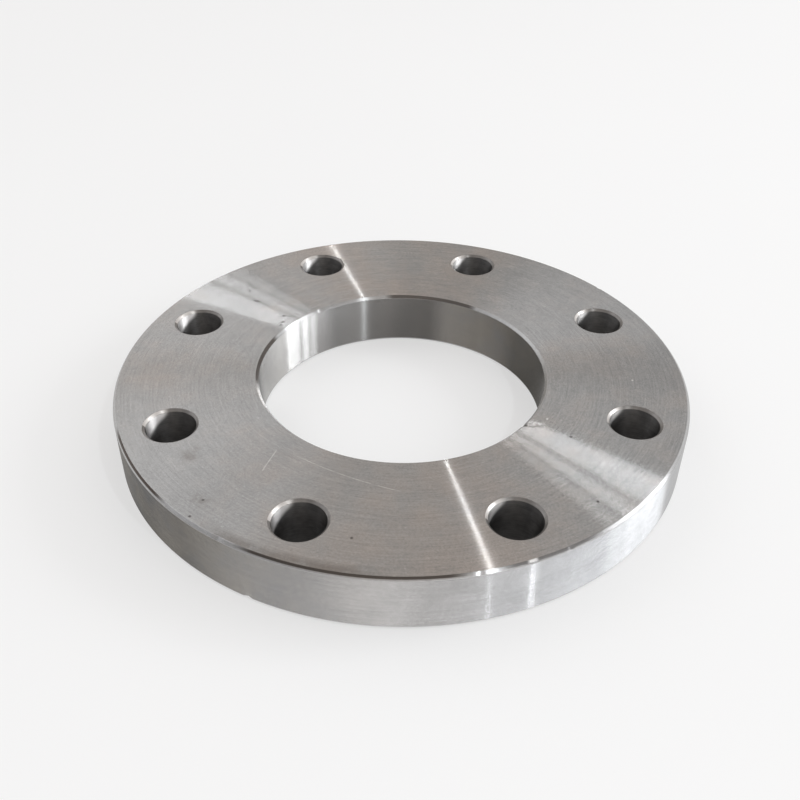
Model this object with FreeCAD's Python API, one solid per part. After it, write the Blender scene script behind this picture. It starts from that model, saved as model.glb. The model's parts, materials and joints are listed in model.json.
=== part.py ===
import FreeCAD
import Part
import math
import os

# Slip on flange: one flat steel ring, turned all over, with a ring of drilled bolt holes.
# Millimetres. The origin is the centre of the lower face and +Z runs along the pipe bore.
# The bolt holes straddle the X and Y axes.

# Driving dimensions of the bolt holes
bolt_circle_diameter = 190.5
bolt_hole_diameter = 19.0
bolt_hole_count = 8
bolt_hole_chamfer = 0.9

# Driving dimensions of the turned ring
bolt_circle_to_rim = 19.75
bore_diameter = 116.5
thickness = 23.5
rim_chamfer = 1.0
bore_chamfer = 1.0

# How far a cutting tool runs past each face
tool_overrun = 2.0

# Derived values
bolt_circle_radius = bolt_circle_diameter / 2
bolt_hole_radius = bolt_hole_diameter / 2
outside_radius = bolt_circle_radius + bolt_circle_to_rim
bore_radius = bore_diameter / 2
hole_pitch_angle = 360.0 / bolt_hole_count
first_hole_angle = hole_pitch_angle / 2

Z_AXIS = FreeCAD.Vector(0, 0, 1)
CENTRE = FreeCAD.Vector(0, 0, 0)


def turned_solid(profile):
    """Turn a closed outline of (radius, height) points about the Z axis."""
    points = [FreeCAD.Vector(radius, 0, height) for radius, height in profile]
    outline = Part.makePolygon(points + points[:1])
    return Part.Face(outline).revolve(CENTRE, Z_AXIS, 360)


def turned_ring():
    """The ring's section: a plain rectangle with every turned edge chamfered."""
    return turned_solid([
        (bore_radius + bore_chamfer, 0),
        (outside_radius - rim_chamfer, 0),
        (outside_radius, rim_chamfer),
        (outside_radius, thickness - rim_chamfer),
        (outside_radius - rim_chamfer, thickness),
        (bore_radius + bore_chamfer, thickness),
        (bore_radius, thickness - bore_chamfer),
        (bore_radius, bore_chamfer),
    ])


def bolt_hole_tool():
    """What one bolt hole takes away: the drilled hole and a countersink at each face."""
    mouth_radius = bolt_hole_radius + bolt_hole_chamfer + tool_overrun
    return turned_solid([
        (0, -tool_overrun),
        (mouth_radius, -tool_overrun),
        (bolt_hole_radius, bolt_hole_chamfer),
        (bolt_hole_radius, thickness - bolt_hole_chamfer),
        (mouth_radius, thickness + tool_overrun),
        (0, thickness + tool_overrun),
    ])


def bolt_hole_tools():
    """One bolt hole tool at each place on the bolt circle."""
    tools = []
    for index in range(bolt_hole_count):
        angle = math.radians(first_hole_angle + index * hole_pitch_angle)
        tool = bolt_hole_tool()
        tool.translate(FreeCAD.Vector(
            bolt_circle_radius * math.cos(angle),
            bolt_circle_radius * math.sin(angle),
            0,
        ))
        tools.append(tool)
    return tools


def flange():
    """The whole flange, in one piece."""
    return turned_ring().cut(bolt_hole_tools())


os.makedirs("parts", exist_ok=True)
flange().exportStep("parts/flange.step")
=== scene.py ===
import json
import math

import bpy
import numpy as np
from mathutils import Matrix, Vector


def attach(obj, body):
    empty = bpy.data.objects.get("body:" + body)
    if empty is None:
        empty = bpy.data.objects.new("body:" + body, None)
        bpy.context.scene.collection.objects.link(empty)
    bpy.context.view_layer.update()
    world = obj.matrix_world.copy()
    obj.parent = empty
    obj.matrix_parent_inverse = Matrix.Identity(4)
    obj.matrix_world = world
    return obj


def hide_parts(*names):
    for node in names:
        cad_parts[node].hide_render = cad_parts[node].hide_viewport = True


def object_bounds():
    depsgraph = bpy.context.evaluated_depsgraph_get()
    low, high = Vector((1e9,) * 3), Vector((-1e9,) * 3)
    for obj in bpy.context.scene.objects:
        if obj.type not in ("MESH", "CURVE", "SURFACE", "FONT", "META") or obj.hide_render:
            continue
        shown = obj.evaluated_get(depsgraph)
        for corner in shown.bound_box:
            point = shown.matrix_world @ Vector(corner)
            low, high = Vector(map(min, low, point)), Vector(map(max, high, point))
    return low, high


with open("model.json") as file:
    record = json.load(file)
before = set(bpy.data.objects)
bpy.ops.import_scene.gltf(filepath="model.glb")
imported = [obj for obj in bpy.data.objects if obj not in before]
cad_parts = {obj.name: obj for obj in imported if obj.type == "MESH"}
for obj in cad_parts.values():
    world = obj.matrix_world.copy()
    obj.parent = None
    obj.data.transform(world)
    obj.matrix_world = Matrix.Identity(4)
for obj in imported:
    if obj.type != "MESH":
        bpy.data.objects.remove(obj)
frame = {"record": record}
cad_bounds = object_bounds()

# Sizes read from the frame, in metres
MM = 0.001
mounts = {mount["name"]: mount for mount in frame["record"]["mounts"]}
THICKNESS = cad_bounds[1].z - cad_bounds[0].z
RIM_RADIUS = cad_bounds[1].x
BORE_RADIUS = mounts["pipe_bore"]["dims"]["r_mm"] * MM
BORE_CHAMFER = (THICKNESS - mounts["pipe_bore"]["dims"]["length_mm"] * MM) / 2
BOLT_CIRCLE_RADIUS = mounts["bolt_holes"]["dims"]["pcd_mm"] * MM / 2
BOLT_HOLE_RADIUS = mounts["bolt_holes"]["dims"]["hole_r_mm"] * MM
BOLT_HOLE_COUNT = mounts["bolt_holes"]["dims"]["count"]
HOLE_PITCH = 2 * math.pi / BOLT_HOLE_COUNT

# Sizes of the edges, in metres
RIM_CHAMFER = 1.0 * MM
HOLE_CHAMFER = 0.9 * MM
EDGE_ROUND = 0.16 * MM

# How finely the mesh is divided. One sector of the face runs from midway between two holes
# to midway between the next two, and its outline has as many points as the hole's mouth.
RIM_STEPS = 100
BORE_STEPS = 52
SPOKE_STEPS = 18
MOUTH_STEPS = RIM_STEPS + BORE_STEPS + 2 * SPOKE_STEPS
TOP_LAYERS = 8
BOTTOM_LAYERS = 3
ROUND_STEPS = 3
WALL_STEPS = 8
MERGE_DISTANCE = 0.0001 * MM

# Nicks in the edges: angle in degrees, then radius, height, size and depth in millimetres
NICKS = [
    (-123.2, 114.8, 23.2, 1.9, 0.5),
    (-118.0, 114.9, 0.6, 1.8, 0.6),
    (-78.9, 114.7, 23.2, 1.0, 0.25),
    (-62.5, 114.7, 23.2, 1.5, 0.4),
    (-39.3, 58.9, 23.2, 1.8, 0.7),
    (121.0, 58.8, 23.2, 1.5, 0.3),
    (127.0, 58.8, 23.2, 1.3, 0.35),
    (35.0, 114.8, 23.2, 1.6, 0.4),
]

# The mesh's surfaces, which are also its materials' names
SURFACES = [
    "turned_face", "turned_rim", "turned_bore", "rim_edge", "bore_edge", "drilled_hole", "hole_edge",
]


def edge_section(corner, along_face, along_wall, chamfer):
    """Points of one chamfered edge from the face to the wall, with both its corners rounded.
    corner is the sharp corner, and the two directions lead away from it along the surfaces."""
    start = corner + along_face * chamfer
    end = corner + along_wall * chamfer
    slope = (end - start) / np.linalg.norm(end - start)
    points = []
    for place, before, after in ((start, along_face, slope), (end, -slope, along_wall)):
        for share in np.linspace(0, 1, ROUND_STEPS + 1):
            first = place + before * EDGE_ROUND * (1 - share)
            second = place + after * EDGE_ROUND * share
            points.append(first * (1 - share) + second * share)
    return points


def wall_section(radius, chamfer, outward):
    """Points (radius, height) down one round wall, from the upper face to the lower one.
    outward is 1 for the rim, and -1 for the bore or a hole."""
    inwards = np.array([-outward, 0.0])
    down = np.array([0.0, -1.0])
    top = edge_section(np.array([radius, THICKNESS]), inwards, down, chamfer)
    bottom = edge_section(np.array([radius, 0.0]), inwards, -down, chamfer)[::-1]
    heights = np.linspace(top[-1][1], bottom[0][1], WALL_STEPS + 1)[1:-1]
    return top + [np.array([radius, height]) for height in heights] + bottom


def circle_points(centre, radius, height, count, start):
    """A row of points round a circle, as an array of (x, y, z)."""
    angles = start + np.arange(count) * 2 * math.pi / count
    x = centre[0] + radius * np.cos(angles)
    y = centre[1] + radius * np.sin(angles)
    return np.stack([x, y, np.full(count, height)], axis=1)


def quads_between(first, second):
    """The quads between two closed rows of points, as an array of (quad, corner, xyz)."""
    rows = [first, np.roll(first, -1, axis=0), np.roll(second, -1, axis=0), second]
    return np.stack(rows, axis=1)


def round_wall(section, centre, count, start, outward, wall_name, edge_name):
    """A round wall with its chamfers, as (quads, surface name) pairs."""
    rows = [circle_points(centre, radius, height, count, start) for radius, height in section]
    edge_rows = 2 * ROUND_STEPS + 1
    parts = []
    for i in range(len(rows) - 1):
        on_edge = i < edge_rows or i >= len(rows) - 1 - edge_rows
        pair = (rows[i + 1], rows[i]) if outward else (rows[i], rows[i + 1])
        parts.append((quads_between(*pair), edge_name if on_edge else wall_name))
    return parts


def sector_outline(middle, height, inner, outer):
    """The outline of one sector, anticlockwise, starting straight outwards of the hole."""
    half = HOLE_PITCH / 2
    rim_half = np.arange(RIM_STEPS // 2) / RIM_STEPS
    spoke = np.arange(SPOKE_STEPS) / SPOKE_STEPS
    bore = np.arange(BORE_STEPS) / BORE_STEPS
    angles = np.concatenate([
        rim_half * 2 * half,
        np.full(SPOKE_STEPS, half),
        half - bore * 2 * half,
        np.full(SPOKE_STEPS, -half),
        rim_half * 2 * half - half,
    ])
    radii = np.concatenate([
        np.full(RIM_STEPS // 2, outer),
        outer + (inner - outer) * spoke,
        np.full(BORE_STEPS, inner),
        inner + (outer - inner) * spoke,
        np.full(RIM_STEPS // 2, outer),
    ])
    x = radii * np.cos(middle + angles)
    y = radii * np.sin(middle + angles)
    return np.stack([x, y, np.full(MOUTH_STEPS, height)], axis=1)


def hole_centres():
    """The middle angle and the centre of each bolt hole."""
    for index in range(BOLT_HOLE_COUNT):
        middle = (index + 0.5) * HOLE_PITCH
        x = BOLT_CIRCLE_RADIUS * math.cos(middle)
        y = BOLT_CIRCLE_RADIUS * math.sin(middle)
        yield middle, (x, y)


def flat_face(height, layers, mouth, inner, outer, upward):
    """One flat face: in each sector, rings lead from the hole's mouth to the sector's outline."""
    parts = []
    for middle, centre in hole_centres():
        outline = sector_outline(middle, height, inner, outer)
        start = circle_points(centre, mouth, height, MOUTH_STEPS, middle)
        rings = [start + (outline - start) * share for share in np.linspace(0, 1, layers + 1)]
        for near, far in zip(rings, rings[1:]):
            pair = (far, near) if upward else (near, far)
            parts.append((quads_between(*pair), "turned_face"))
    return parts


def flange_parts():
    """All the quads of the flange, as (quads, surface name) pairs."""
    rim = wall_section(RIM_RADIUS, RIM_CHAMFER, 1)
    bore = wall_section(BORE_RADIUS, BORE_CHAMFER, -1)
    hole = wall_section(BOLT_HOLE_RADIUS, HOLE_CHAMFER, -1)
    axis = (0.0, 0.0)
    parts = round_wall(rim, axis, RIM_STEPS * BOLT_HOLE_COUNT, 0.0, True, "turned_rim", "rim_edge")
    parts += round_wall(bore, axis, BORE_STEPS * BOLT_HOLE_COUNT, 0.0, False,
                        "turned_bore", "bore_edge")
    for middle, centre in hole_centres():
        parts += round_wall(hole, centre, MOUTH_STEPS, middle, False, "drilled_hole", "hole_edge")
    parts += flat_face(THICKNESS, TOP_LAYERS, hole[0][0], bore[0][0], rim[0][0], True)
    parts += flat_face(0.0, BOTTOM_LAYERS, hole[-1][0], bore[-1][0], rim[-1][0], False)
    return parts


def area_weighted_normals(points, quads):
    """Normals that lean towards the larger faces, so that flat faces stay flat to their edges."""
    corners = points[quads]
    weights = np.cross(corners[:, 2] - corners[:, 0], corners[:, 3] - corners[:, 1])
    normals = np.zeros_like(points)
    for corner in range(4):
        np.add.at(normals, quads[:, corner], weights)
    return normals / np.linalg.norm(normals, axis=1)[:, None]


def nicked(points):
    """The points with small nicks pressed into the edges, towards the inside of the metal."""
    moved = points.copy()
    slant = math.sqrt(0.5)
    for angle, radius, height, size, depth in NICKS:
        outward = np.array([math.cos(math.radians(angle)), math.sin(math.radians(angle)), 0.0])
        upward = np.array([0.0, 0.0, 1.0])
        spot = (outward * radius + upward * height) * MM
        into_ring = outward * math.copysign(slant, BOLT_CIRCLE_RADIUS / MM - radius)
        into_ring += upward * math.copysign(slant, THICKNESS / MM / 2 - height)
        distance = np.linalg.norm(points - spot, axis=1) / (size * MM)
        share = np.clip(1 - distance ** 2, 0, None) ** 2
        moved += share[:, None] * into_ring * depth * MM
    return moved


def from_hole_centre(points):
    """Where each point lies, counted from the centre of its nearest bolt hole."""
    angles = np.arctan2(points[:, 1], points[:, 0])
    middles = (np.floor(angles / HOLE_PITCH) + 0.5) * HOLE_PITCH
    centres = BOLT_CIRCLE_RADIUS * np.stack([np.cos(middles), np.sin(middles), 0 * middles], axis=1)
    return points - centres


def make_flange(materials):
    """The flange as one closed mesh, with each surface's material."""
    parts = flange_parts()
    corners = np.concatenate([quads for quads, name in parts]).reshape(-1, 3)
    keys = np.round(corners / MERGE_DISTANCE).astype(np.int64)
    first, index = np.unique(keys, axis=0, return_index=True, return_inverse=True)[1:]
    points = nicked(corners[first])
    quads = index.reshape(-1, 4)
    mesh = bpy.data.meshes.new("flange_turned")
    mesh.from_pydata(points.tolist(), [], quads.tolist())
    for name in SURFACES:
        mesh.materials.append(materials[name])
    surfaces = [np.full(len(quads), SURFACES.index(name)) for quads, name in parts]
    mesh.polygons.foreach_set("material_index", np.concatenate(surfaces))
    mesh.shade_smooth()
    mesh.normals_split_custom_set_from_vertices(area_weighted_normals(points, quads))
    place = mesh.attributes.new("from_hole_centre", "FLOAT_VECTOR", "POINT")
    place.data.foreach_set("vector", from_hole_centre(points).ravel())
    piece = bpy.data.objects.new("flange_turned", mesh)
    bpy.context.scene.collection.objects.link(piece)
    return piece


class Graph:
    """Short calls that build the nodes of one material or world, which is their owner. Any
    value may be a number, a colour or a socket."""

    def __init__(self, owner, output):
        owner.use_nodes = True
        self.owner = owner
        self.tree = owner.node_tree
        self.tree.nodes.clear()
        self.output = self.node(output)

    def node(self, kind, **settings):
        node = self.tree.nodes.new(kind)
        for name, value in settings.items():
            setattr(node, name, value)
        return node

    def put(self, node, key, value):
        if isinstance(value, bpy.types.NodeSocket):
            self.tree.links.new(value, node.inputs[key])
        else:
            node.inputs[key].default_value = value

    def principled(self, settings):
        shader = self.node("ShaderNodeBsdfPrincipled")
        for key, value in settings.items():
            self.put(shader, key, value)
        return shader.outputs[0]

    def blend(self, shaders):
        """All the shaders in equal shares, as the owner's surface."""
        total = shaders[0]
        for count, shader in enumerate(shaders[1:], start=2):
            mix = self.node("ShaderNodeMixShader")
            self.put(mix, 0, 1 / count)
            self.put(mix, 1, total)
            self.put(mix, 2, shader)
            total = mix.outputs[0]
        self.put(self.output, "Surface", total)
        return self.owner

    def math(self, operation, *values):
        node = self.node("ShaderNodeMath", operation=operation)
        for key, value in enumerate(values):
            self.put(node, key, value)
        return node.outputs[0]

    def vector(self, operation, *values):
        node = self.node("ShaderNodeVectorMath", operation=operation)
        for key, value in enumerate(values):
            self.put(node, "Scale" if operation == "SCALE" and key == 1 else key, value)
        return node.outputs["Value" if operation in ("LENGTH", "DOT_PRODUCT") else "Vector"]

    def split(self, vector):
        node = self.node("ShaderNodeSeparateXYZ")
        self.put(node, 0, vector)
        return node.outputs[0], node.outputs[1], node.outputs[2]

    def join(self, x, y, z):
        node = self.node("ShaderNodeCombineXYZ")
        for key, value in enumerate((x, y, z)):
            self.put(node, key, value)
        return node.outputs[0]

    def noise(self, vector, size, detail=2.0, roughness=0.5):
        """Smooth noise about 0, mostly between -1 and 1. Its largest waves are size long."""
        node = self.node("ShaderNodeTexNoise", noise_dimensions="3D")
        self.put(node, "Vector", vector)
        self.put(node, "Scale", 1 / size)
        self.put(node, "Detail", detail)
        self.put(node, "Roughness", roughness)
        return self.math("MULTIPLY_ADD", node.outputs["Fac"], 4.0, -2.0)

    def fade(self, value, none, full):
        """0 where the value is none, 1 where it is full, and smooth between the two."""
        node = self.node("ShaderNodeMapRange", interpolation_type="SMOOTHSTEP")
        rising = none < full
        self.put(node, "Value", value)
        self.put(node, "From Min", none if rising else full)
        self.put(node, "From Max", full if rising else none)
        return node.outputs[0] if rising else self.math("SUBTRACT", 1.0, node.outputs[0])

    def within(self, value, low, high, soft):
        """1 between low and high, fading out over a soft border outside them."""
        rise = self.fade(value, low - soft, low)
        fall = self.fade(value, high + soft, high)
        return self.math("MULTIPLY", rise, fall)

    def sum(self, *values):
        total = values[0]
        for value in values[1:]:
            total = self.math("ADD", total, value)
        return total

    def product(self, *values):
        total = values[0]
        for value in values[1:]:
            total = self.math("MULTIPLY", total, value)
        return total

    def strongest(self, values):
        """The largest of several masks."""
        total = values[0]
        for value in values[1:]:
            total = self.math("MAXIMUM", total, value)
        return total

    def mix(self, share, first, second):
        node = self.node("ShaderNodeMix", data_type="RGBA")
        colours = [socket for socket in node.inputs if socket.type == "RGBA"]
        self.put(node, 0, share)
        for socket, value in zip(colours, (first, second)):
            if isinstance(value, bpy.types.NodeSocket):
                self.tree.links.new(value, socket)
            else:
                socket.default_value = (*value, 1.0)
        return node.outputs[2]

    def brighten(self, colour, factor):
        """A colour multiplied by a number."""
        return self.vector("SCALE", colour, factor)


def material_graph(name):
    return Graph(bpy.data.materials.new(name), "ShaderNodeOutputMaterial")


class Turned:
    """What a turned surface's materials share: where a point lies about its turning axis."""

    def __init__(self, graph, about_hole=False):
        self.graph = graph
        self.place = graph.node("ShaderNodeTexCoord").outputs["Object"]
        from_axis = self.place
        if about_hole:
            attribute = graph.node("ShaderNodeAttribute", attribute_name="from_hole_centre")
            from_axis = attribute.outputs["Vector"]
        self.x, self.y, self.z = graph.split(from_axis)
        self.radius = graph.vector("LENGTH", graph.join(self.x, self.y, 0.0))
        self.angle = graph.math("DEGREES", graph.math("ARCTAN2", self.y, self.x))
        minus_y = graph.math("MULTIPLY", self.y, -1.0)
        to_world = graph.node("ShaderNodeVectorTransform", vector_type="VECTOR",
                              convert_from="OBJECT", convert_to="WORLD")
        graph.put(to_world, 0, graph.vector("NORMALIZE", graph.join(minus_y, self.x, 0.0)))
        self.normal = graph.node("ShaderNodeNewGeometry").outputs["Normal"]
        self.across = graph.vector("CROSS_PRODUCT", to_world.outputs[0], self.normal)

    def groove_noise(self, pitch, length, detail=2.0):
        """Noise drawn out round the axis: fine across the grooves and long along them."""
        graph = self.graph
        circle = graph.vector("NORMALIZE", graph.join(self.x, self.y, 0.0))
        x, y = graph.split(graph.vector("SCALE", circle, GROOVE_RADIUS / length))[:2]
        depth = graph.math("DIVIDE", graph.math("ADD", self.radius, self.z), pitch)
        return graph.noise(graph.join(x, y, depth), 1.0, detail)

    def finish(self, colour, roughness, anisotropy, flanks, wave, visible_grooves=0.0):
        """The surface's shader. The flanks of the tool's grooves, too fine to see, are tilted
        across them by so many degrees, which draws each reflection out into a line across them.
        wave is how far each flank's own tilt changes to either side, in degrees."""
        graph = self.graph
        depth = graph.math("SUBTRACT", self.radius, self.z)
        sine = graph.math("SINE", graph.math("DIVIDE", depth, GROOVE_PITCH / (2 * math.pi)))
        curve = graph.math("MULTIPLY_ADD", sine, math.radians(wave), visible_grooves)
        shaders = []
        for flank in flanks:
            tilt = graph.math("ADD", curve, math.radians(flank))
            tilted = graph.vector(
                "ADD",
                graph.vector("SCALE", self.normal, graph.math("COSINE", tilt)),
                graph.vector("SCALE", self.across, graph.math("SINE", tilt)),
            )
            shaders.append(graph.principled({
                "Base Color": colour,
                "Metallic": 1.0,
                "Roughness": roughness,
                "Anisotropic": anisotropy,
                "Normal": tilted,
                "Tangent": self.across,
            }))
        return graph.blend(shaders)


# The share of a straight scratch's length over which each end fades, the same for a curved
# scratch in degrees, and the share of a spot's radius inside which it is at its strongest
LINE_END = 0.1
ARC_END = 2.0
SPOT_CORE = 0.3


def line_mark(graph, place, start, end, half_width):
    """A straight scratch between two (x, y) places in millimetres, as a mask."""
    x, y = graph.split(place)[:2]
    length = math.hypot(end[0] - start[0], end[1] - start[1]) * MM
    along = ((end[0] - start[0]) * MM / length, (end[1] - start[1]) * MM / length, 0.0)
    offset = graph.vector("SUBTRACT", graph.join(x, y, 0.0), (start[0] * MM, start[1] * MM, 0.0))
    forward = graph.vector("DOT_PRODUCT", offset, along)
    aside = graph.vector("DOT_PRODUCT", offset, (-along[1], along[0], 0.0))
    inside = graph.within(forward, 0.0, length, length * LINE_END)
    return graph.product(inside, graph.fade(graph.math("ABSOLUTE", aside), half_width * MM, 0.0))


def arc_mark(graph, place, centre, radius, start, end, half_width):
    """A curved scratch: part of a circle in millimetres, between two angles in degrees."""
    offset = graph.vector("SUBTRACT", place, (centre[0] * MM, centre[1] * MM, 0.0))
    x, y = graph.split(offset)[:2]
    from_centre = graph.vector("LENGTH", graph.join(x, y, 0.0))
    aside = graph.math("SUBTRACT", from_centre, radius * MM)
    angle = graph.math("DEGREES", graph.math("ARCTAN2", y, x))
    inside = graph.within(angle, start, end, ARC_END)
    return graph.product(inside, graph.fade(graph.math("ABSOLUTE", aside), half_width * MM, 0.0))


def dot_mark(graph, place, spot, radius):
    """A round spot at an (x, y) place in millimetres, as a mask."""
    offset = graph.vector("SUBTRACT", place, (spot[0] * MM, spot[1] * MM, 0.0))
    x, y = graph.split(offset)[:2]
    distance = graph.vector("LENGTH", graph.join(x, y, 0.0))
    return graph.fade(distance, radius * MM, radius * MM * SPOT_CORE)


def dot_marks(graph, place, spots, radius):
    """Several round spots of one size, as one mask."""
    return graph.strongest([dot_mark(graph, place, spot, radius) for spot in spots])


# Colours of the steel and of what lies on it
FACE_STEEL = (0.385, 0.385, 0.383)
FACE_WARM = (0.385, 0.352, 0.328)
RIM_STEEL = (0.373, 0.373, 0.374)
# The bore's steel is darker than the face's: painted shade for the inside of the bore
SHADED_BORE_STEEL = (0.198, 0.195, 0.191)
# The holes' steel is darker still: painted shade for the inside of the holes
SHADED_HOLE_STEEL = (0.11, 0.107, 0.105)
EDGE_STEEL = (0.42, 0.415, 0.41)
HOLE_EDGE_STEEL = (0.215, 0.204, 0.195)
WALL_WARMTH = (1.02, 0.96, 0.87)
BRIGHT_SCRATCH = (0.72, 0.71, 0.69)
BROWN_STAIN = (0.15, 0.12, 0.10)
# Painted dark reflections on the chamfers, and painted shade in a nick
EDGE_PAINTED_DARK = (0.06, 0.047, 0.038)
DARK_SPOT = (0.07, 0.06, 0.055)
# A painted highlight: a bright glint painted into the chamfers' colour
PAINTED_EDGE_HIGHLIGHT = (0.9, 0.89, 0.88)

# The tool's finest grooves: their pitch, the radius at which their marks' lengths are meant,
# and how far their flanks lean in degrees across them. The feed's direction makes the walls'
# flanks uneven. Each wave says how far a flank's lean changes to either side.
GROOVE_PITCH = 0.13 * MM
GROOVE_RADIUS = 80 * MM
FACE_FLANKS = (-50, -28, -6, 16, 37)
RIM_FLANKS = (-36, -33, -30, -24)
BORE_FLANKS = (8, 24, 31, 33)
EDGE_FLANKS = (-8, 8)
HOLE_FLANKS = (10, 27, 34)
FACE_WAVE = 12.0
WALL_WAVE = 5.0
HOLE_WAVE = 6.0
# How far the face's visible grooves tilt its surface, in radians
VISIBLE_GROOVE_TILT = 0.06

# How rough each surface is, and how much that changes over the face. An anisotropy of 1
# draws each reflection out across the grooves the most.
FACE_ROUGHNESS = 0.162
FACE_ROUGHNESS_CHANGE = 0.01
RIM_ROUGHNESS = 0.18
BORE_ROUGHNESS = 0.2
EDGE_ROUGHNESS = 0.22
HOLE_ROUGHNESS = 0.36
HOLE_EDGE_ROUGHNESS = 0.34
TURNED_ANISOTROPY = 1.0
EDGE_ANISOTROPY = 0.9
HOLE_ANISOTROPY = 0.0
HOLE_EDGE_ANISOTROPY = 0.5

# How strongly soft clouds change a wall's colour, and the x, in millimetres, at which its
# steel is at its warmest
RIM_MOTTLE = 0.09
BORE_MOTTLE = 0.06
RIM_WARMEST = -80
BORE_WARMEST = 40

# Stretches of painted light and shade, paler or darker steel where more or less light falls: two
# angles in degrees and the change of colour. On the face they also have the width of their soft
# borders.
FACE_PAINTED_LIGHT = [(18.0, 42.0, 14.0, 0.1), (-120.0, -54.0, 10.0, 0.11), (98.0, 122.0, 12.0, 0.13)]
WALL_PAINTED_BORDER = 12.0
RIM_PAINTED_LIGHT_AND_SHADE = [
    (-172.0, -134.0, -0.36),
    (-172.0, -146.0, -0.22),
    (-114.0, -94.0, 0.23),
    (-76.0, -56.0, 0.1),
    (-46.0, -20.0, 0.3),
]
BORE_PAINTED_LIGHT_AND_SHADE = [
    (2.0, 28.0, -0.46),
    (48.0, 66.0, 0.3),
    (58.0, 66.0, 0.35),
    (78.0, 86.0, -0.22),
    (112.0, 124.0, 0.4),
    (130.0, 168.0, 1.0),
    (154.0, 172.0, 1.5),
]

# Painted highlights, painted dark reflections and painted shade on the edges: two angles in degrees,
# strength and colour. They cover the half of the chamfer beside the face, from one radius to the
# other.
EDGE_PAINT_BORDER = 5.0
RIM_PAINT_SIDE = (RIM_RADIUS - 0.3 * MM, RIM_RADIUS - 0.5 * MM)
# On the rim's chamfer: painted dark reflections and a painted highlight
RIM_EDGE_PAINTED_LIGHT_AND_SHADE = [
    (-157.0, -140.0, 0.95, EDGE_PAINTED_DARK),
    (-116.0, -84.0, 0.9, EDGE_PAINTED_DARK),
    (-72.0, -60.0, 0.6, DARK_SPOT),
    (-70.2, -69.4, 0.9, PAINTED_EDGE_HIGHLIGHT),
]
BORE_PAINT_SIDE = (BORE_RADIUS - 0.1 * MM, BORE_RADIUS + 0.1 * MM)
# On the bore's chamfer: painted dark reflections, a painted highlight and painted shade in a nick
BORE_EDGE_PAINTED_LIGHT_AND_SHADE = [
    (58.0, 92.0, 0.8, EDGE_PAINTED_DARK),
    (158.0, 180.0, 0.9, EDGE_PAINTED_DARK),
    (-180.0, -174.0, 0.9, EDGE_PAINTED_DARK),
    (-165.0, -158.0, 0.9, PAINTED_EDGE_HIGHLIGHT),
    # Painted shade in the nick at the bore's edge
    (-39.6, -39.0, 0.9, EDGE_PAINTED_DARK),
]

# The painted light on one side of each hole's entry, where light falls into it: its angles about the
# hole and their soft border in degrees, then its depth, which is an offset and a growth with each
# degree, and that depth's border, which stands for the edge of the shadow. Last, how much paler it
# makes the hole's wall and its mouth.
LIT_SIDE_START = 120.0
LIT_SIDE_END = 180.0
LIT_SIDE_BORDER = 20.0
LIT_DEPTH_GROWTH = 0.11 * MM
LIT_DEPTH_OFFSET = -10 * MM
LIT_DEPTH_BORDER = 1.5 * MM
HOLE_PAINTED_LIGHT = 5.4
HOLE_EDGE_PAINTED_LIGHT = 1.8

# Marks on the upper face, in millimetres and degrees. Curved scratches: centre, radius, two
# angles, half width and strength. Straight ones: two ends, half width and strength.
LONG_SCRATCH_CENTRE = (43.7, 58.6)
LONG_SCRATCH_RADIUS = 140.6
CURVED_SCRATCHES = [
    (LONG_SCRATCH_CENTRE, LONG_SCRATCH_RADIUS, -125.0, -110.5, 0.3, 0.75),
    (LONG_SCRATCH_CENTRE, LONG_SCRATCH_RADIUS, -133.0, -130.0, 0.3, 0.3),
    ((0.0, 0.0), 74.4, -167.0, -147.0, 0.3, 0.2),
    ((0.0, 0.0), 80.5, -150.0, -131.0, 0.3, 0.15),
]
STRAIGHT_SCRATCHES = [
    ((-50.9, -62.6), (-47.1, -52.1), 0.3, 0.7),
    ((-79.7, -47.2), (-77.4, -50.6), 0.35, 0.35),
    ((-40.5, -54.5), (-41.0, -48.0), 0.35, 0.2),
]

# The brown stain beside the rim: its two angles and their soft border, in degrees, the two
# radii between which it grows, in metres, and its strength
STAIN_ANGLES = (-122.0, -100.0, 8.0)
STAIN_RADII = (RIM_RADIUS - 6 * MM, RIM_RADIUS - 2 * MM)
STAIN_STRENGTH = 0.5

# Smudges, spots and specks: the places, the radius and the strength of each kind
SMUDGES = [(-77.5, -53.0), (-70.5, -78.0)]
SMUDGE_RADIUS = 6.0
SMUDGE_STRENGTH = 0.55
# The last dark spot is painted shade in the nick at the bore's edge
DARK_SPOTS = [
    (-73.1, -85.9), (-69.8, -77.9), (-18.7, -96.7), (62.0, -45.1), (65.4, -80.3), (46.1, -37.7),
]
DARK_SPOT_RADIUS = 0.75
DARK_SPECKS = [
    (-68.7, 63.4), (-65.4, 54.4), (-64.1, 54.3), (-51.4, 36.3), (-52.0, 33.9), (-51.3, 41.3),
]
DARK_SPECK_RADIUS = 0.95
DARK_STRENGTH = 0.8
BRIGHT_SPECKS = [(54.7, -34.1), (93.0, -9.0)]
BRIGHT_SPECK_RADIUS = 0.6
BRIGHT_STRENGTH = 0.9


def upper_only(graph, surface):
    """1 on the upper face, and 0 on the lower one."""
    return graph.fade(surface.z, THICKNESS * 0.4, THICKNESS * 0.6)


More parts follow.
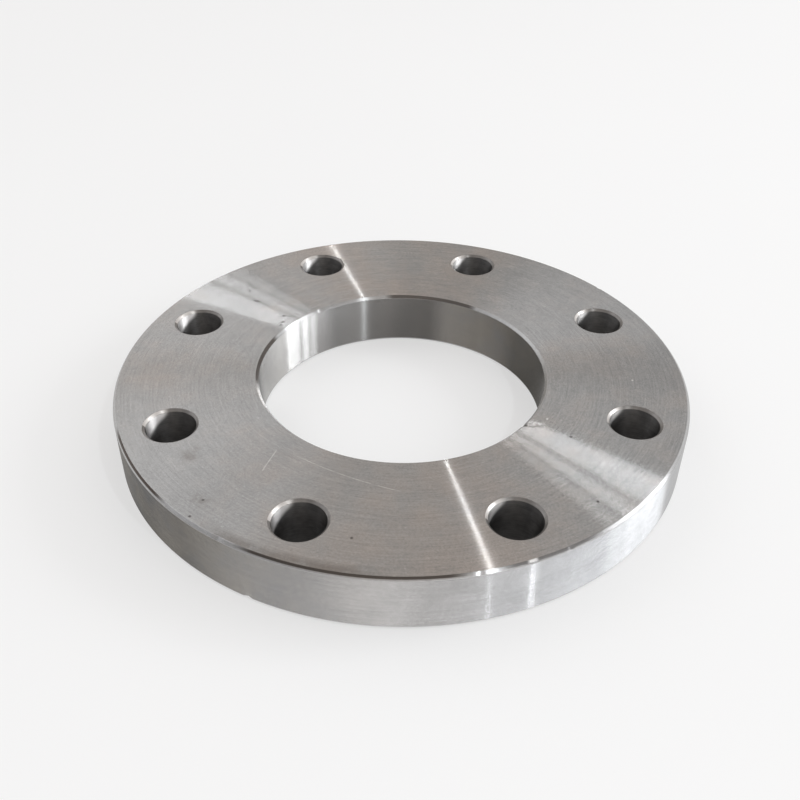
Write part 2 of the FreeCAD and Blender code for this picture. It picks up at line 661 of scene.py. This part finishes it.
def bare_face_colour(graph, surface, clouds, blotches):
    """Pale steel with warm clouds, fine rings, grain and small flecks, and painted light: lighter
    towards -x, darker towards +x, and in paler stretches round the axis.
    """
    grain = graph.noise(surface.place, 0.75 * MM, 2.0, 0.7)
    flecks = graph.noise(surface.place, 1.5 * MM, 1.0, 0.5)
    rings = surface.groove_noise(0.55 * MM, 14 * MM, 3.0)
    sideways = graph.math("ABSOLUTE", graph.math("DIVIDE", surface.x, surface.radius))
    warmth = graph.sum(
        graph.product(clouds, 0.45),
        graph.product(blotches, 0.25),
        graph.product(graph.fade(sideways, 0.75, 0.25), 0.45),
    )
    colour = graph.mix(graph.fade(warmth, -0.2, 1.0), FACE_STEEL, FACE_WARM)
    light = graph.sum(
        1.0,
        graph.product(clouds, 0.04),
        graph.product(blotches, 0.075),
        graph.product(grain, 0.13),
        graph.product(rings, 0.1),
        # Painted light: the face is lighter towards -x and darker towards +x
        graph.product(graph.fade(surface.x, 10 * MM, -100 * MM), 0.27),
        graph.product(graph.fade(surface.x, 50 * MM, 110 * MM), -0.11),
        graph.product(graph.fade(flecks, 0.9, 1.6), 0.3),
        graph.product(graph.fade(flecks, -0.95, -1.6), -0.25),
    )
    # Painted light: paler stretches of the face round the axis
    for start, end, border, change in FACE_PAINTED_LIGHT:
        painted_stretch = graph.product(graph.within(surface.angle, start, end, border), change)
        light = graph.sum(light, painted_stretch)
    return graph.brighten(colour, light)


def face_colour(graph, surface):
    """The bare steel's colour, with the stains, scratches and spots of the upper face."""
    place = surface.place
    upper = upper_only(graph, surface)
    clouds = graph.noise(place, 38 * MM, 3.0)
    blotches = graph.noise(place, 9 * MM, 3.0, 0.6)
    colour = bare_face_colour(graph, surface, clouds, blotches)

    stain = graph.product(
        graph.within(surface.angle, *STAIN_ANGLES),
        graph.fade(surface.radius, *STAIN_RADII),
        graph.fade(blotches, -1.3, 0.6),
    )
    smudge = graph.product(
        dot_marks(graph, place, SMUDGES, SMUDGE_RADIUS),
        graph.fade(blotches, -0.5, 0.8),
    )
    dirt = graph.strongest([
        graph.product(stain, STAIN_STRENGTH),
        graph.product(smudge, SMUDGE_STRENGTH),
    ])
    colour = graph.mix(graph.product(dirt, upper), colour, BROWN_STAIN)

    scratches = [
        graph.product(arc_mark(graph, place, *curve), strength)
        for *curve, strength in CURVED_SCRATCHES
    ]
    scratches += [
        graph.product(line_mark(graph, place, *line), strength)
        for *line, strength in STRAIGHT_SCRATCHES
    ]
    broken = graph.fade(graph.noise(place, 3 * MM, 2.0), -1.2, 0.3)
    shown = graph.product(graph.strongest(scratches), upper, broken)
    colour = graph.mix(shown, colour, BRIGHT_SCRATCH)

    spots = graph.strongest([
        dot_marks(graph, place, DARK_SPOTS, DARK_SPOT_RADIUS),
        dot_marks(graph, place, DARK_SPECKS, DARK_SPECK_RADIUS),
    ])
    colour = graph.mix(graph.product(spots, upper, DARK_STRENGTH), colour, DARK_SPOT)
    specks = dot_marks(graph, place, BRIGHT_SPECKS, BRIGHT_SPECK_RADIUS)
    return graph.mix(graph.product(specks, upper, BRIGHT_STRENGTH), colour, BRIGHT_SCRATCH)


def make_face_material():
    graph = material_graph("turned_face")
    surface = Turned(graph)
    colour = face_colour(graph, surface)
    patches = graph.noise(surface.place, 14 * MM, 2.0)
    roughness = graph.math("MULTIPLY_ADD", patches, FACE_ROUGHNESS_CHANGE, FACE_ROUGHNESS)
    lines = surface.groove_noise(0.9 * MM, 30 * MM, 2.0)
    visible_grooves = graph.product(lines, VISIBLE_GROOVE_TILT)
    return surface.finish(
        colour, roughness, TURNED_ANISOTROPY, FACE_FLANKS, FACE_WAVE, visible_grooves)


def make_wall_material(name, steel, roughness, flanks, painted_stretches, mottle, warmest):
    """A turned wall: smooth, with soft clouds and faint lines round it, as strong as mottle says.
    The steel gets warmer from the middle to warmest, an x in millimetres. Stretches of painted light
    and shade make it paler or darker round the axis."""
    graph = material_graph(name)
    surface = Turned(graph)
    clouds = graph.noise(surface.place, 16 * MM, 3.0, 0.6)
    grain = graph.noise(surface.place, 1.2 * MM, 2.0, 0.6)
    rings = surface.groove_noise(0.8 * MM, 25 * MM, 2.0)
    light = graph.sum(
        1.0,
        graph.product(clouds, mottle),
        graph.product(grain, mottle * 0.6),
        graph.product(rings, mottle * 0.6),
    )
    # Painted light and shade: stretches of the wall made paler or darker round the axis
    for start, end, change in painted_stretches:
        painted_stretch = graph.product(graph.within(surface.angle, start, end, WALL_PAINTED_BORDER), change)
        light = graph.sum(light, painted_stretch)
    warm_side = graph.fade(surface.x, 0.0, warmest * MM)
    warm_share = graph.product(warm_side, graph.fade(clouds, -1.5, 0.5))
    warm = tuple(part * warmth for part, warmth in zip(steel, WALL_WARMTH))
    colour = graph.brighten(graph.mix(warm_share, steel, warm), light)
    return surface.finish(colour, roughness, TURNED_ANISOTROPY, flanks, WALL_WAVE)


def make_edge_material(name, painted_marks, painted_side):
    """A chamfer of brighter steel, with painted highlights, painted dark reflections and painted
    shade on it. They fade beyond the two radii given for their side.
    """
    graph = material_graph(name)
    surface = Turned(graph)
    grain = graph.noise(surface.place, 1.5 * MM, 2.0, 0.7)
    colour = graph.brighten(EDGE_STEEL, graph.math("MULTIPLY_ADD", grain, 0.08, 1.0))
    beside_face = graph.fade(surface.radius, *painted_side)
    beside_face = graph.product(beside_face, upper_only(graph, surface))
    # Painted highlights, painted dark reflections and painted shade laid on the chamfer
    for start, end, strength, stain in painted_marks:
        border = min(EDGE_PAINT_BORDER, end - start)
        along = graph.within(surface.angle, start, end, border)
        colour = graph.mix(graph.product(along, strength, beside_face), colour, stain)
    return surface.finish(colour, EDGE_ROUGHNESS, EDGE_ANISOTROPY, EDGE_FLANKS, WALL_WAVE)


def make_hole_material(name, steel, roughness, anisotropy, flanks, painted_light_gain):
    """A drilled hole's wall or mouth, with the drill's rough lines round it. On one side of its
    entry light is painted in, which makes the steel paler by the given gain times its own colour."""
    graph = material_graph(name)
    surface = Turned(graph, about_hole=True)
    clouds = graph.noise(surface.place, 3 * MM, 3.0, 0.6)
    rings = surface.groove_noise(0.5 * MM, 40 * MM, 2.0)
    depth = graph.math("SUBTRACT", THICKNESS, surface.z)
    reach = graph.math("MULTIPLY_ADD", surface.angle, LIT_DEPTH_GROWTH, LIT_DEPTH_OFFSET)
    below_reach = graph.math("SUBTRACT", depth, reach)
    # Painted light: the side of the entry where light falls, down to a slanting shadow's edge
    painted_lit_side = graph.product(
        graph.within(surface.angle, LIT_SIDE_START, LIT_SIDE_END, LIT_SIDE_BORDER),
        graph.fade(below_reach, LIT_DEPTH_BORDER, -LIT_DEPTH_BORDER),
    )
    light = graph.sum(
        1.0,
        graph.product(clouds, 0.2),
        graph.product(rings, 0.15),
        graph.product(painted_lit_side, painted_light_gain),
    )
    return surface.finish(graph.brighten(steel, light), roughness, anisotropy, flanks, HOLE_WAVE)


materials = {
    "turned_face": make_face_material(),
    "turned_rim": make_wall_material(
        "turned_rim", RIM_STEEL, RIM_ROUGHNESS, RIM_FLANKS, RIM_PAINTED_LIGHT_AND_SHADE, RIM_MOTTLE, RIM_WARMEST),
    "turned_bore": make_wall_material(
        "turned_bore", SHADED_BORE_STEEL, BORE_ROUGHNESS, BORE_FLANKS, BORE_PAINTED_LIGHT_AND_SHADE, BORE_MOTTLE,
        BORE_WARMEST),
    "rim_edge": make_edge_material("rim_edge", RIM_EDGE_PAINTED_LIGHT_AND_SHADE, RIM_PAINT_SIDE),
    "bore_edge": make_edge_material("bore_edge", BORE_EDGE_PAINTED_LIGHT_AND_SHADE, BORE_PAINT_SIDE),
    "drilled_hole": make_hole_material(
        "drilled_hole", SHADED_HOLE_STEEL, HOLE_ROUGHNESS, HOLE_ANISOTROPY, HOLE_FLANKS, HOLE_PAINTED_LIGHT),
    "hole_edge": make_hole_material(
        "hole_edge", HOLE_EDGE_STEEL, HOLE_EDGE_ROUGHNESS, HOLE_EDGE_ANISOTROPY, EDGE_FLANKS,
        HOLE_EDGE_PAINTED_LIGHT),
}
flange = make_flange(materials)
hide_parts("flange")
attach(flange, "root")

# The floor: half its side, its colour, and the size and strength of its faint clouds
FLOOR_HALF_SIDE = 6.0
FLOOR_COLOUR = 0.92
FLOOR_CLOUD_SIZE = 300 * MM
FLOOR_CLOUD = 0.004
FLOOR_ROUGHNESS = 0.9
# The share of the floor's brightness that doesn't depend on the light, where the camera or a
# reflection looks at it
FLOOR_GLOW = 0.5


def make_floor_material():
    graph = material_graph("pale_floor")
    place = graph.node("ShaderNodeTexCoord").outputs["Object"]
    clouds = graph.noise(place, FLOOR_CLOUD_SIZE)
    pale = graph.math("MULTIPLY_ADD", clouds, FLOOR_CLOUD, FLOOR_COLOUR)
    colour = graph.join(pale, pale, pale)
    path = graph.node("ShaderNodeLightPath").outputs
    seen = graph.math("MAXIMUM", path["Is Camera Ray"], path["Is Glossy Ray"])
    glow = graph.product(seen, FLOOR_GLOW)
    return graph.blend([graph.principled({
        "Base Color": graph.brighten(colour, graph.math("SUBTRACT", 1.0, glow)),
        "Roughness": FLOOR_ROUGHNESS,
        "Specular IOR Level": 0.0,
        "Emission Color": colour,
        "Emission Strength": glow,
    })])


def make_floor():
    side = FLOOR_HALF_SIDE
    corners = [(-side, -side, 0), (side, -side, 0), (side, side, 0), (-side, side, 0)]
    mesh = bpy.data.meshes.new("floor")
    mesh.from_pydata(corners, [], [(0, 1, 2, 3)])
    mesh.materials.append(make_floor_material())
    floor = bpy.data.objects.new("floor", mesh)
    bpy.context.scene.collection.objects.link(floor)


make_floor()

# The camera, as the photograph's perspective gives it. Its place is turned about the
# flange's axis so that the bolt holes fall where the photograph has them.
CAMERA_BACK = 316.47 * MM
CAMERA_ABOVE_FACE = 220.02 * MM
CAMERA_PITCH = math.radians(36.718)
CAMERA_YAW = math.radians(-0.108)
CAMERA_ROLL = math.radians(0.697)
CAMERA_TURN = math.radians(-1.796)
SENSOR_WIDTH = 36.0
FOCAL_LENGTH = 42.316


def make_camera():
    forward = Vector((
        math.sin(CAMERA_YAW) * math.cos(CAMERA_PITCH),
        math.cos(CAMERA_YAW) * math.cos(CAMERA_PITCH),
        -math.sin(CAMERA_PITCH),
    ))
    level = Vector((math.cos(CAMERA_YAW), -math.sin(CAMERA_YAW), 0))
    above = level.cross(forward)
    right = level * math.cos(CAMERA_ROLL) + above * math.sin(CAMERA_ROLL)
    up = above * math.cos(CAMERA_ROLL) - level * math.sin(CAMERA_ROLL)
    axes = Matrix((right, up, -forward)).transposed().to_4x4()
    place = Matrix.Translation((0, -CAMERA_BACK, THICKNESS + CAMERA_ABOVE_FACE))
    data = bpy.data.cameras.new("camera")
    data.sensor_width = SENSOR_WIDTH
    data.lens = FOCAL_LENGTH
    data.clip_start = 0.01
    camera = bpy.data.objects.new("camera", data)
    camera.matrix_world = Matrix.Rotation(CAMERA_TURN, 4, "Z") @ place @ axes
    bpy.context.scene.collection.objects.link(camera)
    bpy.context.scene.camera = camera


make_camera()


def direction_to(azimuth, elevation):
    """The direction from the flange to a place in the sky, given in degrees."""
    a, e = math.radians(azimuth), math.radians(elevation)
    return Vector((math.cos(e) * math.cos(a), math.cos(e) * math.sin(a), math.sin(e)))


def soft_lamp(name, azimuth, elevation, distance, width, height, radiance, colour):
    """A rectangular lamp that faces the middle of the flange's upper face. Its azimuth is
    counted in degrees from +X towards +Y, and radiance 1 looks plain white in a mirror."""
    direction = direction_to(azimuth, elevation)
    data = bpy.data.lights.new(name, "AREA")
    data.shape = "RECTANGLE"
    data.size = width
    data.size_y = height
    data.energy = radiance * math.pi * width * height
    data.color = colour
    lamp = bpy.data.objects.new(name, data)
    lamp.location = Vector((0, 0, THICKNESS)) + direction * distance
    lamp.rotation_mode = "QUATERNION"
    lamp.rotation_quaternion = direction.to_track_quat("Z", "Y")
    lamp.visible_camera = False
    bpy.context.scene.collection.objects.link(lamp)


COOL_LIGHT = (0.95, 0.975, 1.0)
SMALL_LAMP_LIGHT = (0.9, 0.96, 1.0)

# A window on the right, in three rows of panes. In each row: its elevation, and how far the
# row is moved in azimuth so that all the rows' ends are mirrored in one line on the face.
WINDOW_DISTANCE = 1.8
PANE_HEIGHT = 0.196
WINDOW_ROWS = [("low", 20.3, -2.8), ("middle", 26.5, 0.0), ("high", 32.7, 3.8)]
# In each row, the panes: azimuth, width and radiance
PANES = [("wide", 9.3, 0.41, 7.6), ("narrow", -3.8, 0.19, 6.8), ("faint", -12.0, 0.17, 3.4)]
# Small lamps: name, azimuth, elevation, distance, width, height, radiance and colour. The
# first draws the thin line on the face and the bore, and the low ones the streaks on the rim.
SMALL_LAMPS = [
    ("small_lamp", -51.6, 53.5, 1.5, 0.018, 0.010, 3700, SMALL_LAMP_LIGHT),
    ("low_lamp", -50.5, -0.3, 0.8, 0.026, 0.02, 36, COOL_LIGHT),
    ("low_faint_lamp", -64.5, -0.3, 0.8, 0.020, 0.02, 15, COOL_LIGHT),
]
for row, elevation, shift in WINDOW_ROWS:
    for pane, azimuth, width, radiance in PANES:
        soft_lamp(f"window_{row}_{pane}", azimuth + shift, elevation, WINDOW_DISTANCE, width,
                  PANE_HEIGHT, radiance, COOL_LIGHT)
for lamp_values in SMALL_LAMPS:
    soft_lamp(*lamp_values)

# The world's colours overhead, on the right and in its low strip. The first one turns into
# the second between two values of a direction's x.
WORLD_OVERHEAD = (0.74, 0.71, 0.685)
WORLD_RIGHT = (0.76, 0.76, 0.77)
WORLD_STRIP = (0.73, 0.76, 0.80)
WORLD_TURN = (0.1, 0.95)
# Paler and darker patches of the world: azimuth, elevation and radius in degrees, and colour.
# A patch has its full colour over a share of its radius.
PATCH_CORE = 0.4
WORLD_PATCHES = [
    (155.0, 36.0, 40.0, (1.2, 1.21, 1.23)),
    (30.0, 24.0, 28.0, (1.25, 1.26, 1.28)),
    (-150.0, 5.0, 50.0, (0.38, 0.38, 0.39)),
]
# The low strip grows from nothing at its start to its full strength at its end, in azimuth,
# and ends over a short border. It fades between two elevations.
STRIP_START = -165.0
STRIP_END = 9.0
STRIP_BORDER = 6.0
STRIP_FULL_BELOW = 2.0
STRIP_NONE_ABOVE = 12.0
STRIP_STRENGTH = 6.0


def strip_share(graph, direction):
    """Where the low strip is, from 0 to 1."""
    x, y, z = graph.split(direction)
    azimuth = graph.math("DEGREES", graph.math("ARCTAN2", y, x))
    share = graph.math("SUBTRACT", azimuth, STRIP_START)
    share = graph.math("DIVIDE", share, STRIP_END - STRIP_START)
    top = math.sin(math.radians(STRIP_NONE_ABOVE))
    bottom = math.sin(math.radians(STRIP_FULL_BELOW))
    return graph.product(
        graph.math("MAXIMUM", share, 0.0),
        graph.fade(azimuth, STRIP_END + STRIP_BORDER, STRIP_END),
        graph.fade(z, top, bottom),
    )


def make_world():
    """A plain studio: pale all round, a little darker and warmer overhead and behind the
    camera, and brightest in a low strip on the right."""
    world = bpy.data.worlds.new("studio")
    bpy.context.scene.world = world
    graph = Graph(world, "ShaderNodeOutputWorld")
    direction = graph.node("ShaderNodeTexCoord").outputs["Generated"]
    x = graph.split(direction)[0]
    colour = graph.mix(graph.fade(x, *WORLD_TURN), WORLD_OVERHEAD, WORLD_RIGHT)
    for azimuth, elevation, radius, patch in WORLD_PATCHES:
        near = graph.vector("DOT_PRODUCT", direction, direction_to(azimuth, elevation))
        outer = math.cos(math.radians(radius))
        inner = math.cos(math.radians(radius * PATCH_CORE))
        colour = graph.mix(graph.fade(near, outer, inner), colour, patch)
    strip = strip_share(graph, direction)
    background = graph.node("ShaderNodeBackground")
    graph.put(background, "Color", graph.mix(strip, colour, WORLD_STRIP))
    graph.put(background, "Strength", graph.math("MULTIPLY_ADD", strip, STRIP_STRENGTH, 1.0))
    graph.put(graph.output, "Surface", background.outputs[0])


make_world()
bpy.context.scene.view_settings.view_transform = "Standard"
